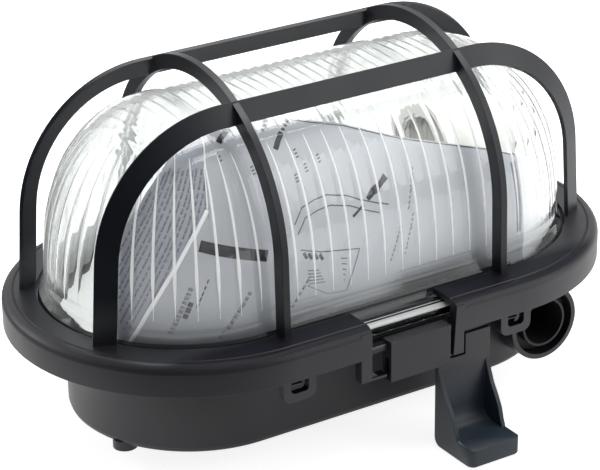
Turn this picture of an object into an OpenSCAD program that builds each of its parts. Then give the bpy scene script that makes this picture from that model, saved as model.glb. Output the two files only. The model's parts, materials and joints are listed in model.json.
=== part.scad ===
// Oval bulkhead light with a hinged guard, ribbed glass and a release lever.
// Frame: origin on the wall plane under the centre of the light.
// X runs along the length, Y across it with the lever at minus Y, Z away from the wall.

/* [Guard ring] */
// length of the ring over its skirt
ring_l = 212.6; // [190:0.1:230]
// width of the ring over its skirt
ring_w = 124; // [118:1:134]
// height of the ring's land above the wall
land_z = 43.6; // [42:0.1:46]
// height of the skirt
skirt_h = 10.6; // [9:0.1:12]
// wall of the skirt and of the land
ring_t = 2; // [1.6:0.1:2.4]
// width of the land along the straight sides, from the skirt's face to the opening
land_w = 13; // [12:0.1:14]
// width of the land at the two ends
land_end = 10.95; // [10:0.05:12]
// rounding of the ring's outer top edge
ring_round = 3; // [2:0.1:4]

/* [Cage] */
// distance of the long hoops from the centre plane
long_y = 24.9; // [22:0.1:28]
// top of the long hoops
long_top = 112.95; // [111.5:0.05:118]
// width of a long hoop's strip
long_w = 7.4; // [5:0.1:8]
// thickness of a long hoop's strip
long_t = 1.4; // [1.2:0.1:2.4]
// tilt of the long hoops' strip
long_tilt = 27; // [15:1:30]
// corner radius of the long hoops
long_r = 45.6; // [42:0.1:47]
// distance of the long hoops' feet from the ring's ends
long_in = 11.75; // [11:0.05:14]
// distance of the cross hoops from the middle
cross_x = 41.6; // [38:0.1:44]
// radial depth of a cross hoop
cross_d = 4.9; // [4:0.1:5.4]
// thickness of a cross hoop
cross_t = 2.4; // [2:0.1:3.4]
// reach of the cross hoops beyond the waist of the glass
cross_out = 6.5; // [5.5:0.1:7]

/* [Glass] */
// top of the glass dome
dome_top = 106.8; // [100:0.1:108]
// distance of the glass's waist from the edge of the ring's opening
waist_gap = 2.8; // [2.6:0.1:4]
// wall of the glass
glass_t = 2.2; // [1.8:0.1:3]
// number of ribs on each straight side
rib_n = 15; // [7:1:17]
// height of a rib over the glass
rib_h = 0.7; // [0.4:0.1:0.9]
// width of a rib
rib_w = 1.3; // [0.8:0.1:1.6]

/* [Base] */
// length of the base tub
base_l = 173; // [168:1:176]
// width of the base tub
base_w = 84; // [80:1:88]
// wall of the base tub
base_t = 2.5; // [2:0.1:3]
// height of the small feet
foot_h = 2.3; // [2:0.1:4]
// distance between the two wall screws
wall_pitch = 100; // [96:1:104]
// radius of the wall screw holes
wall_r = 2.25; // [2:0.05:2.6]
// height of the cable collar's axis above the wall
collar_z = 19.9; // [19:0.1:20]
// distance of the cable collar's axis from the tub's right end
collar_in = 25.8; // [24:0.1:29]

/* [Lever and hinge] */
// radius of the lever's pin
pin_r = 1.2; // [1:0.05:1.3]
// distance of the two hinge and snap loops from the middle
loop_x = 41.7; // [38:0.1:44]
// radius of the guard's hinge bars
bar_r = 1.2; // [1:0.05:1.3]
// radial play of a running fit
play = 0.06; // [0.03:0.01:0.1]
// width of the release lever's leg
leg_w = 20.4; // [18:0.1:20.6]
// depth of the lever's foot in front of the skirt
foot_d = 19; // [14:0.5:22]
// thickness of the lever's foot
foot_t = 6.2; // [4:0.1:7]

/* [Lampholder] */
// height of the lampholder's axis above the wall
lamp_z = 66; // [62:0.5:68]
// outer radius of the lampholder
lamp_r = 17.5; // [16.5:0.1:18]

/* [Hidden] */
$fn = 48;
eps = 0.01;
ring_r = ring_w / 2;
ring_half = (ring_l - ring_w) / 2;
skirt_z = land_z - skirt_h;
// opening of the ring and the glass in it
open_w = ring_w - 2 * land_w;
open_half = ring_l / 2 - land_end - open_w / 2;
dome_r = open_w / 2 - waist_gap;
dome_z = land_z - 1.2;
dome_n = 2.58;
dome_h = dome_top - dome_z;
lens_half = open_half + 0.15;
// stack under the land: glass flange, gasket, base flange
flange_w = open_w + 11;
flange_half = open_half - 2.85;
lens_fw = flange_w + 4;
lens_ft = 4.1;
seal_t = 2;
flange_t = 2;
land_low = land_z - ring_t;
lens_top = land_low;
lens_z = lens_top - lens_ft;
seal_z = lens_z - seal_t;
flange_z = seal_z - flange_t;
// base and what stands in it
base_r = base_w / 2;
base_half = (base_l - base_w) / 2;
floor_z = foot_h + base_t;
collar_x = base_l / 2 - collar_in;
collar_y = -(base_r + 9);
collar_r = 13.2;
sleeve_r = 9.4;
cable_r = 7.8;
plate_z = seal_z + 0.5;
plate_w = 2 * (dome_r - 3.2);
post_x = 32;
// hinge at the rear, snap loops and lever at the front
bar_y = ring_r - 1.5;
bar_z = skirt_z - 6;
lug_w = 5.9;
snap_y = -(ring_r - ring_t + 0.2);
snap_t = 2.5;
cut_x0 = -16;
cut_x1 = 16.5;
pin_l = 38;
pin_y = -(ring_r - 2.7);
pin_z = skirt_z + 1;
block_x0 = -9;
block_x1 = 14;
cheek_z = skirt_z - 8;
leg_x = 9.5;
leg_top = cheek_z - 0.8;
leg_bot = skirt_z - 39;
leg_t = 1.6;
leg_y = -ring_r;
leg_taper = 1.2;
gusset_t = 1.5;
// lampholder, its bracket and the terminal block
lamp_l = 30;
// the holder stands as far right as both the glass and the tub allow
lamp_x1 = min(ring_l / 2 - 30.3, base_l / 2 - 10.5);
lamp_x0 = lamp_x1 - lamp_l;
lamp_screw_y = 8;
brk_t = 1.5;
brk_w = 16;
brk_x = [lamp_x1 - 12.5, lamp_x1 - 6];
term_x = 20;
term_y = 14;

// An oval made of a rectangle and two half circles.
module oval(half, w) {
  union() {
    square([2 * half, w], center = true);
    translate([half, 0]) circle(d = w, $fn = 96);
    translate([-half, 0]) circle(d = w, $fn = 96);
  }
}

// A profile of radius and height carried round such an oval.
module oval_sweep(half) {
  translate([half, 0, 0]) rotate([0, 0, -90]) rotate_extrude(angle = 180, $fn = 96) children();
  translate([-half, 0, 0]) rotate([0, 0, 90]) rotate_extrude(angle = 180, $fn = 96) children();
  for (s = [0, 180])
    rotate([0, 0, s]) translate([-half, 0, 0]) rotate([90, 0, 90])
      linear_extrude(height = 2 * half) children();
}

// A cylinder along X.
module rod(x0, x1, y, z, r) {
  translate([x0, y, z]) rotate([0, 90, 0]) cylinder(h = x1 - x0, r = r);
}

// Points of the dome's profile for a given amount inside the outer face.
function dome_pt(a, inset) = [
  (dome_r - inset) * pow(max(cos(a), 0), 2 / dome_n),
  dome_z + (dome_h - inset) * pow(sin(a), 2 / dome_n)];
dome_a = [6, 12, 19, 26, 33, 40, 47, 54, 61, 68, 75, 81, 86, 90];
outer_pts = [for (a = dome_a) dome_pt(a, 0)];
inner_pts = [for (i = [len(dome_a) - 1:-1:0]) dome_pt(dome_a[i], glass_t)];

module base_tub() {
  color([0.13, 0.135, 0.14]) difference() {
    union() {
      base_shell();
      base_collar();
      for (x = [-1, 1]) {
        translate([x * wall_pitch / 2, 0, 0]) cylinder(h = floor_z + 3, r = 5.5);
        translate([x * (base_half + 35.1), -15, 0]) cylinder(h = foot_h + 1, r = 4);
        translate([x * (base_half + 15.5), 28, 0]) cylinder(h = foot_h + 1, r = 4);
        translate([x * post_x, 0, floor_z - eps]) cylinder(h = plate_z - floor_z + eps, r = 3.5);
        base_lug(x * loop_x);
        base_barb(x * loop_x);
      }
      translate([term_x, term_y, floor_z - eps]) cylinder(h = 3, r = 4);
      for (x = brk_x) translate([x, 0, floor_z - eps]) cylinder(h = 2.5, r = 2.6);
    }
    for (x = [-1, 1]) {
      translate([x * wall_pitch / 2, 0, -1]) cylinder(h = 20, r = wall_r);
      translate([x * post_x, 0, plate_z - 14]) cylinder(h = 20, r = 1.5);
      rod(x * loop_x - 4, x * loop_x + 4, bar_y, bar_z, bar_r + play);
      translate([x * loop_x - 4, bar_y - 0.75, bar_z - 4]) cube([8, 1.5, 4]);
    }
    translate([collar_x, 0, collar_z]) rotate([90, 0, 0]) cylinder(h = base_r + 5, r = sleeve_r);
    translate([collar_x, collar_y + 5.5, collar_z]) rotate([90, 0, 0])
      cylinder(h = 20, r = collar_r - 1.6);
    translate([term_x, term_y, foot_h + 1]) cylinder(h = 20, r = 1.3);
    for (x = brk_x) translate([x, 0, foot_h + 0.8]) cylinder(h = 20, r = 1.3);
  }
}

// Tub with rounded lower edge and the flange that carries the seal.
module base_shell() {
  translate([0, 0, foot_h]) linear_extrude(height = base_t) oval(base_half, base_w - 4);
  oval_sweep(base_half) polygon([[base_r - base_t, foot_h + 0.5], [base_r - 2.2, foot_h],
    [base_r - 1.2, foot_h + 0.3], [base_r - 0.4, foot_h + 1], [base_r, foot_h + 2.2],
    [base_r, flange_z + 1], [base_r - base_t, flange_z + 1]]);
  difference() {
    translate([0, 0, flange_z]) linear_extrude(height = seal_z - flange_z)
      oval(flange_half, flange_w);
    translate([0, 0, flange_z - 1]) linear_extrude(height = 5) oval(base_half, base_w - 2 * base_t);
  }
}

// Collar of the cable entry, on the front wall.
module base_collar() {
  difference() {
    translate([collar_x, 0, collar_z]) rotate([90, 0, 0]) cylinder(h = -collar_y, r = collar_r);
    linear_extrude(height = 60) oval(base_half, base_w - 2 * base_t);
  }
}

// Lug with an open round seat for one hinge bar of the guard.
module base_lug(x) {
  rod(x - lug_w / 2, x + lug_w / 2, bar_y, bar_z, bar_r + 1.3);
  translate([x - lug_w / 2, base_r - 1.5, bar_z - 2.5]) cube([lug_w, bar_y - base_r + 1.5, 3.6]);
  translate([x - lug_w / 2, base_r - 1.5, bar_z]) cube([lug_w, 12, flange_z - bar_z + 0.5]);
}

// Barb behind one front snap loop; it stops short of the loop, which flexes over it in use.
module base_barb(x) {
  translate([x - 2.7, 0, 0]) rotate([90, 0, 90]) linear_extrude(height = 5.4)
    polygon([[-base_r + 1.5, skirt_z - 5], [snap_y + snap_t + 0.9, skirt_z - 4.4],
      [snap_y + snap_t + 0.5, skirt_z - 3.7], [-(ring_r - 8.5), skirt_z - 0.5],
      [-(ring_r - 8.5), flange_z + 0.5], [-base_r + 1.5, flange_z + 0.5]]);
}

module gasket() {
  color([0.2, 0.2, 0.2]) translate([0, 0, seal_z]) linear_extrude(height = lens_z - seal_z)
    difference() {
      oval(flange_half, flange_w);
      oval(flange_half, flange_w - 9);
    }
}

// Rubber sleeve in the collar with a shoulder and a thin lip.
module cable_grommet() {
  color([0.1, 0.1, 0.1]) translate([collar_x, collar_y + 5.5, collar_z]) rotate([90, 0, 0])
    difference() {
      union() {
        translate([0, 0, -7.5]) cylinder(h = 8.7, r = sleeve_r);
        cylinder(h = 1.2, r = collar_r - 1.8);
        cylinder(h = 5.4, r = cable_r + 0.8);
        translate([0, 0, -10]) cylinder(h = 2.5, r1 = cable_r + 0.6, r2 = sleeve_r);
      }
      translate([0, 0, -20]) cylinder(h = 40, r = cable_r);
    }
}

// White sheet plate that lies on two posts and hides the wiring.
module reflector() {
  color([0.93, 0.93, 0.92]) translate([0, 0, plate_z]) linear_extrude(height = 1)
    difference() {
      oval(flange_half, plate_w);
      for (x = [-post_x, post_x]) translate([x, 0]) circle(r = 1.8);
      translate([lamp_x1 - 3, -brk_w / 2 - 2.5]) square([10.2, brk_w + 5]);
    }
}

module reflector_screws() {
  color([0.75, 0.75, 0.73]) for (x = [-post_x, post_x]) difference() {
    union() {
      translate([x, 0, plate_z - 10]) cylinder(h = 11, r = 1.5);
      translate([x, 0, plate_z + 1]) cylinder(h = 1.6, r = 3.2);
    }
    translate([x - 4, -0.4, plate_z + 1.9]) cube([8, 0.8, 2]);
  }
}

// Bent steel strip from the floor to the back of the lampholder, enamelled white.
module lampholder_bracket() {
  foot_x = brk_x[0] - 4.5;
  color([0.9, 0.9, 0.89]) difference() {
    union() {
      translate([foot_x, -brk_w / 2, floor_z + 2.49]) cube([lamp_x1 + brk_t - foot_x, brk_w, brk_t]);
      translate([lamp_x1, -brk_w / 2, floor_z + 2.49]) cube([brk_t, brk_w, lamp_z - floor_z + 3]);
      rod(lamp_x1, lamp_x1 + brk_t, 0, lamp_z, 12);
    }
    for (x = brk_x) translate([x, 0, 0]) cylinder(h = 20, r = 1.7);
    for (y = [-1, 1]) rod(lamp_x1 - 1, lamp_x1 + 4, y * lamp_screw_y, lamp_z, 1.6);
    rod(lamp_x1 - 1, lamp_x1 + 4, 0, lamp_z, 4);
  }
}

module bracket_screws() {
  color([0.75, 0.75, 0.73]) for (x = brk_x) difference() {
    union() {
      translate([x, 0, foot_h + 1.2]) cylinder(h = floor_z + 3.99 - foot_h - 1.2, r = 1.3);
      translate([x, 0, floor_z + 3.99]) cylinder(h = 1.6, r = 2.7);
    }
    translate([x - 4, -0.4, floor_z + 4.8]) cube([8, 0.8, 2]);
  }
}

// Ceramic lampholder with its mouth along minus X.
module lampholder_body() {
  color([0.95, 0.94, 0.9]) difference() {
    union() {
      rod(lamp_x0, lamp_x0 + 20, 0, lamp_z, lamp_r);
      translate([lamp_x0 + 20, 0, lamp_z]) rotate([0, 90, 0])
        cylinder(h = 10, r1 = lamp_r, r2 = lamp_r - 4);
    }
    rod(lamp_x0 - 1, lamp_x0 + 22, 0, lamp_z, 14.3);
    rod(lamp_x0 + 21, lamp_x1 + 1, 0, lamp_z, 3);
    for (y = [-1, 1]) rod(lamp_x1 - 7, lamp_x1 + 1, y * lamp_screw_y, lamp_z, 1.4);
  }
}

// Threaded sleeve drawn as round waves.
module lampholder_shell() {
  color([0.8, 0.78, 0.7]) translate([lamp_x0 + 1, 0, lamp_z]) rotate([0, 90, 0])
    rotate_extrude($fn = 48) polygon(concat(
      [[13.2, 0], [14.1, 0]],
      [for (i = [0:5]) each [[14.1, 0.8 + i * 3.4], [13.5, 2.5 + i * 3.4]]],
      [[14.1, 21], [8, 21], [8, 20.4], [13.2, 20.4]],
      [for (i = [5:-1:0]) each [[12.9, 2.5 + i * 3.4], [13.5, 0.8 + i * 3.4]]]));
}

module lampholder_contact() {
  color([0.8, 0.65, 0.35]) union() {
    rod(lamp_x0 + 18.5, lamp_x1 - 3, 0, lamp_z, 2.4);
    rod(lamp_x0 + 17.3, lamp_x0 + 18.5, 0, lamp_z, 3.6);
  }
}

module lampholder_screws() {
  color([0.75, 0.75, 0.73]) for (y = [-1, 1]) union() {
    rod(lamp_x1 - 6, lamp_x1 + brk_t, y * lamp_screw_y, lamp_z, 1.4);
    rod(lamp_x1 + brk_t, lamp_x1 + brk_t + 1.5, y * lamp_screw_y, lamp_z, 2.7);
  }
}

// Two way terminal block, bores along X.
module terminal_block() {
  color([0.94, 0.94, 0.92]) translate([term_x, term_y, floor_z + 3]) difference() {
    union() {
      translate([-9, -11, 0]) cube([18, 22, 4]);
      for (y = [-6.5, 6.5]) translate([-9, y - 4, 3]) cube([18, 8, 10]);
    }
    for (y = [-6.5, 6.5]) {
      rod(-10, 10, y, 7, 2.6);
      for (x = [-5, 5]) translate([x, y, 7]) cylinder(h = 10, r = 1.8);
    }
    translate([0, 0, -1]) cylinder(h = 10, r = 1.7);
  }
}

module terminal_inserts() {
  color([0.8, 0.65, 0.35]) translate([term_x, term_y, floor_z + 3])
    for (y = [-6.5, 6.5]) difference() {
      rod(-8, 8, y, 7, 2.6);
      rod(-9, 9, y, 7, 1.6);
      for (x = [-5, 5]) translate([x, y, 7]) cylinder(h = 10, r = 1.2);
    }
}

module terminal_screws() {
  color([0.75, 0.75, 0.73]) translate([term_x, term_y, floor_z + 3])
    for (y = [-6.5, 6.5], x = [-5, 5]) difference() {
      union() {
        translate([x, y, 8.3]) cylinder(h = 1.9, r = 1.2);
        translate([x, y, 10]) cylinder(h = 1.8, r = 1.7);
      }
      translate([x - 3, y - 0.3, 11]) cube([6, 0.6, 2]);
    }
}

module terminal_fixing_screw() {
  color([0.75, 0.75, 0.73]) translate([term_x, term_y, 0]) union() {
    translate([0, 0, foot_h + 1.4]) cylinder(h = floor_z + 7 - foot_h - 1.4, r = 1.3);
    translate([0, 0, floor_z + 7]) cylinder(h = 1.5, r = 2.2);
  }
}

// A round lead of eight sides along a list of points.
function unit(v) = v / norm(v);
function ring8(p, t, r) = let (a = unit(cross(t, [0.13, 1, 0.07])), b = cross(t, a))
  [for (i = [0:7]) p + r * (a * cos(i * 45) + b * sin(i * 45))];
module lead(p, r) {
  n = len(p);
  tg = [for (i = [0:n - 1]) unit(p[min(i + 1, n - 1)] - p[max(i - 1, 0)])];
  pts = [for (i = [0:n - 1]) each ring8(p[i], tg[i], r)];
  faces = concat(
    [[for (i = [0:7]) i]],
    [[for (i = [7:-1:0]) (n - 1) * 8 + i]],
    [for (k = [0:n - 2], i = [0:7])
      [k * 8 + i, k * 8 + 8 + i, k * 8 + 8 + (i + 1) % 8, k * 8 + (i + 1) % 8]]);
  polyhedron(points = pts, faces = faces, convexity = 6);
}
function bez(a, b, c, d, n) = [for (i = [0:n]) let (t = i / n, s = 1 - t)
  s * s * s * a + 3 * s * s * t * b + 3 * s * t * t * c + t * t * t * d];

// Route of a lead: out of the block, round the bracket's foot, up behind it, into the holder.
function lead_path(y0, side) = let (x = lamp_x1 + 4.6, z = floor_z + 7.5, y = side * 12)
  concat(
    bez([term_x + 7.5, y0, floor_z + 10], [term_x + 20, y0, floor_z + 10],
      [lamp_x1 - 30, y, z], [lamp_x1 - 14, y, z], 7),
    bez([lamp_x1 - 10, y, z], [lamp_x1, y, z], [x, side * 10, z], [x, side * 6, z + 11], 7),
    bez([x, side * 4, z + 17], [x, side * 1.6, z + 24], [x, side * 1.6, lamp_z - 16],
      [x, side * 1.6, lamp_z - 8], 5),
    bez([x, side * 1.6, lamp_z - 5], [x, side * 1.6, lamp_z - 1], [x - 1, side * 1.6, lamp_z],
      [x - 4.1, side * 1.6, lamp_z], 5),
    [[lamp_x1 - 2, side * 1.6, lamp_z]]);

module wire_live() {
  color([0.45, 0.25, 0.12]) lead(lead_path(term_y - 6.5, -1), 1.1);
}

module wire_neutral() {
  color([0.15, 0.3, 0.6]) lead(lead_path(term_y + 6.5, 1), 1.1);
}

// Ribbed glass dome on a flat flange.
module lens() {
  color([0.85, 0.93, 0.9, 0.4]) union() {
    difference() {
      oval_sweep(flange_half + 0.4) polygon([[dome_r - 3, lens_z], [lens_fw / 2, lens_z],
        [lens_fw / 2, lens_top - 0.7], [lens_fw / 2 - 2, lens_top], [dome_r - 3, lens_top]]);
      translate([0, 0, lens_z - 1]) linear_extrude(height = lens_ft + 2)
        oval(lens_half, 2 * (dome_r - 1));
    }
    oval_sweep(lens_half) polygon(concat([[dome_r + 2.1, lens_top - 1], [dome_r + 1.9, land_z + 0.2],
      [dome_r + 0.6, land_z + 3.4]], outer_pts, inner_pts,
      [[dome_r - glass_t + 0.6, land_z + 3], [dome_r - 1.1, lens_top - 1]]));
    lens_ribs();
  }
}

// Upright ribs that start above a plain band and run out towards the plain top.
rib_pts = [for (i = [0:10]) let (a = 6.3 + i * 5.04, k = sin(i * 18))
  dome_pt(a, -rib_h * pow(max(k, 0), 0.6) + 0.25)];
rib_in = [for (i = [10:-1:0]) dome_pt(6.3 + i * 5.04, 1.2)];
module rib() {
  translate([0, rib_w / 2, 0]) rotate([90, 0, 0]) linear_extrude(height = rib_w)
    polygon(concat(rib_pts, rib_in));
}
module lens_ribs() {
  for (s = [-1, 1]) {
    for (i = [0:rib_n - 1])
      translate([-lens_half + 0.35 + i * (2 * lens_half - 0.7) / (rib_n - 1), 0, 0])
        rotate([0, 0, s * 90]) rib();
    for (a = [1:20])
      translate([s * lens_half, 0, 0]) rotate([0, 0, -90 * s + a * 180 / 21]) rib();
  }
}

// One moulding: ring, skirt, cheeks, snap loops and the cage.
module guard() {
  color([0.13, 0.135, 0.14]) difference() {
    union() {
      guard_ring();
      for (s = [-1, 1]) {
        guard_long(s);
        guard_cross(s);
      }
      guard_cheeks();
      for (x = [-1, 1]) {
        front_loop(x * loop_x);
        rear_loop(x * loop_x);
      }
    }
    rod(-pin_l / 2, pin_l / 2, pin_y, pin_z, pin_r);
  }
}

module guard_ring() {
  r0 = ring_r - 4.5;
  f = ring_round;
  difference() {
    union() {
      oval_sweep(ring_half) polygon(concat(
        [[ring_r - ring_t, skirt_z], [ring_r, skirt_z]],
        [for (a = [0:15:90]) [ring_r - f + f * cos(a), land_z - f + f * sin(a)]],
        [[ring_r - 3.4, land_z], [ring_r - 3.6, land_z - 0.35], [ring_r - 3.9, land_z - 0.35],
          [ring_r - 4.1, land_z], [r0, land_z], [r0, land_low],
          [ring_r - ring_t - 1, land_low], [ring_r - ring_t, land_low - 1]]));
      translate([0, 0, land_low]) linear_extrude(height = ring_t)
        difference() {
          oval(ring_half, 2 * r0 + 0.4);
          oval(open_half, open_w);
        }
    }
    translate([cut_x0, -ring_r - 1, skirt_z - 1]) cube([cut_x1 - cut_x0, 20, skirt_h + 2]);
  }
}

// Section of a long hoop: its outer edge lies on the path, its inner edge further out.
module long_section(r) {
  c = cos(long_tilt);
  s = sin(long_tilt);
  polygon([[r, 0], [r - long_w * c, long_w * s],
    [r - long_w * c - long_t * s, long_w * s - long_t * c], [r - long_t * s, -long_t * c]]);
}

// Long hoop: blade tilted inwards, big round corners, legs leaning a little outwards.
module guard_long(side) {
  lean = 3.75;
  r = long_r;
  cz = long_top - r;
  fx = ring_l / 2 - long_in;
  cx = (fx * cos(lean) + (land_z - cz) * sin(lean) - r) / cos(lean);
  leg = cz - land_z + 1.2 + r * sin(lean);
  mirror([0, side > 0 ? 1 : 0, 0]) translate([0, -long_y, 0]) rotate([90, 0, 0]) {
    for (s = [0, 1]) mirror([s, 0, 0]) translate([cx, cz, 0]) {
      rotate([0, 0, lean]) rotate_extrude(angle = 90 - lean, $fn = 96) long_section(r);
      rotate([0, 0, lean]) rotate([90, 0, 0]) linear_extrude(height = leg) long_section(r);
    }
    translate([-cx, cz, 0]) rotate([0, 0, 90]) rotate([90, 0, 0])
      linear_extrude(height = 2 * cx) long_section(r);
  }
}

// Cross hoop: upright blade with round corners and nearly straight legs.
module guard_cross(side) {
  lean = 1.6;
  r = dome_r + cross_out;
  cz = land_z + 22.5;
  translate([side * cross_x, 0, cz]) rotate([90, 0, 90]) {
    rotate([0, 0, lean]) rotate_extrude(angle = 180 - 2 * lean, $fn = 96)
      translate([r - cross_d, -cross_t / 2]) square([cross_d, cross_t]);
    for (s = [0, 1]) mirror([s, 0, 0]) rotate([0, 0, lean]) rotate([90, 0, 0])
      linear_extrude(height = cz - land_z + 1.2 + r * sin(lean))
        translate([r - cross_d, -cross_t / 2]) square([cross_d, cross_t]);
  }
}

// Cheeks beside the cut-out; the left one has a thin ledge at its foot.
module guard_cheeks() {
  top = land_low + 0.5;
  translate([cut_x0 - 4, -ring_r, cheek_z]) cube([4, 3.5, top - cheek_z]);
  translate([cut_x0 - 4, -ring_r, pin_z - 2.6]) cube([4, 5, 5.2]);
  translate([cut_x0 - 4, -ring_r, cheek_z]) cube([9.6, 3.5, 0.9]);
  translate([cut_x0 - 0.5, -ring_r + 1.4, cheek_z]) rotate([90, 0, 0]) linear_extrude(height = 0.9)
    polygon([[0, 0], [4, 0], [0, 4]]);
  translate([cut_x1, -ring_r + 3.5, 0]) rotate([90, 0, 0]) linear_extrude(height = 3.5)
    polygon([[-1, cheek_z], [3, cheek_z], [3, top], [0, top]]);
  translate([cut_x1 - 0.3, -ring_r, pin_z - 2.6]) cube([3.3, 5, 5.2]);
}

// Snap loop over a barb of the base, set back by the skirt's wall.
module front_loop(x) {
  translate([x, snap_y + snap_t, skirt_z]) rotate([90, 0, 0]) linear_extrude(height = snap_t)
    difference() {
      union() {
        translate([-6, -5]) square([12, 9]);
        translate([-3, -8]) square([6, 4]);
        for (s = [-3, 3]) translate([s, -5]) circle(r = 3);
      }
      union() {
        translate([-3.25, -3.6]) square([6.5, 4.1]);
        translate([-1.75, -5.1]) square([3.5, 2]);
        for (s = [-1.75, 1.75]) translate([s, -3.6]) circle(r = 1.5);
      }
    }
}

// Hinge loop: two legs and a round bar that turns in the base's lug.
module rear_loop(x) {
  for (s = [-1, 1]) translate([x + s * 4.625, ring_r, 0]) {
    translate([-1.375, -3, bar_z]) cube([2.75, 3, skirt_z - bar_z + 0.5]);
    rod(-1.375, 1.375, -1.5, bar_z, 1.5);
  }
  rod(x - 5, x + 5, bar_y, bar_z, bar_r);
}

// Block on the pin, leg and foot with two gussets.
module release_lever() {
  color([0.3, 0.32, 0.35]) difference() {
    union() {
      translate([block_x0, -ring_r - 0.3, skirt_z - 10.5])
        cube([block_x1 - block_x0, 4.8, 14]);
      translate([0, leg_y + leg_t, 0]) rotate([90, 0, 0]) linear_extrude(height = leg_t)
        polygon([[leg_x, leg_bot + 3], [leg_x + leg_w - leg_taper, leg_bot + 3],
          [leg_x + leg_w, leg_top], [leg_x, leg_top]]);
      translate([leg_x + leg_w - 9.7, leg_y, leg_top - 1])
        cube([9.7, leg_t, skirt_z - 1.5 - leg_top + 1]);
      lever_foot();
    }
    rod(block_x0 - 1, block_x1 + 1, pin_y, pin_z, pin_r + play);
    translate([block_x0 - 1, -ring_r + 1, skirt_z - 8.5]) cube([block_x1 - block_x0, 2.2, 6]);
  }
}

// Foot with a round heel, two gussets and a fillet between them.
module lever_foot() {
  foot_w = leg_w - leg_taper;
  foot_top = leg_bot + foot_t;
  heel_r = 3;
  heel_y = leg_y + leg_t - heel_r;
  lean = atan(leg_taper / (leg_top - leg_bot));
  translate([leg_x, 0, 0]) rotate([90, 0, 90]) linear_extrude(height = foot_w)
    union() {
      polygon([[leg_y - foot_d, leg_bot + 0.5], [leg_y - foot_d + 0.5, leg_bot],
        [heel_y, leg_bot], [heel_y, leg_bot + heel_r], [heel_y + heel_r, leg_bot + heel_r],
        [heel_y + heel_r, foot_top], [leg_y - foot_d, foot_top]]);
      translate([heel_y, leg_bot + heel_r]) circle(r = heel_r);
    }
  translate([leg_x, 0, 0]) rotate([90, 0, 90]) linear_extrude(height = gusset_t) gusset_outline();
  translate([leg_x + leg_w, 0, leg_top]) rotate([0, lean, 0])
    translate([-gusset_t, 0, -leg_top]) rotate([90, 0, 90])
      linear_extrude(height = gusset_t) gusset_outline();
  translate([leg_x + 1, 0, 0]) rotate([90, 0, 90]) linear_extrude(height = foot_w - 2)
    polygon([[leg_y + 0.5, 9], [leg_y, 6], [leg_y - 0.8, 3], [leg_y - 2.4, 1.2], [leg_y - 5, 0.2],
      [leg_y - 5, -1], [leg_y + 0.5, -1]]);
}

module gusset_outline() {
  polygon([[leg_y + 0.5, 21.5], [leg_y - 0.7, 19], [leg_y - 1.6, 16.5], [leg_y - 3.4, 13],
    [leg_y - 6, 9.5], [leg_y - 8.2, 6], [leg_y - 9.4, 2.5], [leg_y - 10.5, 0.4],
    [leg_y - 10.5, -1], [leg_y + 0.5, -1]]);
}

module lever_pin() {
  color([0.75, 0.76, 0.78]) rod(-pin_l / 2, pin_l / 2, pin_y, pin_z, pin_r);
}

// Curled sheet of paper that hugs the inside of the glass at the front and round both ends.
leaf_in = glass_t + 0.3;
leaf_a = [2, 10, 18, 26, 34, 42, 50, 58, 66, 74];
module leaf_profile() {
  polygon(concat([[dome_r - leaf_in, land_z + 1]], [for (a = leaf_a) dome_pt(a, leaf_in)],
    [for (i = [len(leaf_a) - 1:-1:0]) dome_pt(leaf_a[i], leaf_in + 0.35)],
    [[dome_r - leaf_in - 0.35, land_z + 1]]));
}
module leaflet() {
  low = land_z - 1;
  h = lens_half;
  color([0.93, 0.93, 0.93]) intersection() {
    union() {
      rotate([0, 0, 180]) translate([-h, 0, 0]) rotate([90, 0, 90])
        linear_extrude(height = 2 * h) leaf_profile();
      translate([-h, 0, 0]) rotate([0, 0, 180])
        rotate_extrude(angle = 90, $fn = 96) leaf_profile();
      translate([h, 0, 0]) rotate([0, 0, -90])
        rotate_extrude(angle = 80, $fn = 96) leaf_profile();
    }
    rotate([90, 0, 0]) linear_extrude(height = ring_r)
      polygon([[-h - dome_r, low], [h + dome_r, low], [h + 38, 59], [h + 24, 70], [h + 11, 76],
        [h - 2, 82.5], [h - 32, 91.5], [h - 50, 97.5], [-h + 26, 103], [-h + 6, 97], [-h - dome_r, 70]]);
  }
}

base_tub();
gasket();
cable_grommet();
reflector();
reflector_screws();
lampholder_bracket();
bracket_screws();
lampholder_body();
lampholder_shell();
lampholder_contact();
lampholder_screws();
terminal_block();
terminal_inserts();
terminal_screws();
terminal_fixing_screw();
wire_live();
wire_neutral();
lens();
guard();
release_lever();
lever_pin();
leaflet();
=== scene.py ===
"""Looks of the oval bulkhead light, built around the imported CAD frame."""

import json
import math
import random

import bmesh
import bpy
from mathutils import Matrix, Vector


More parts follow.
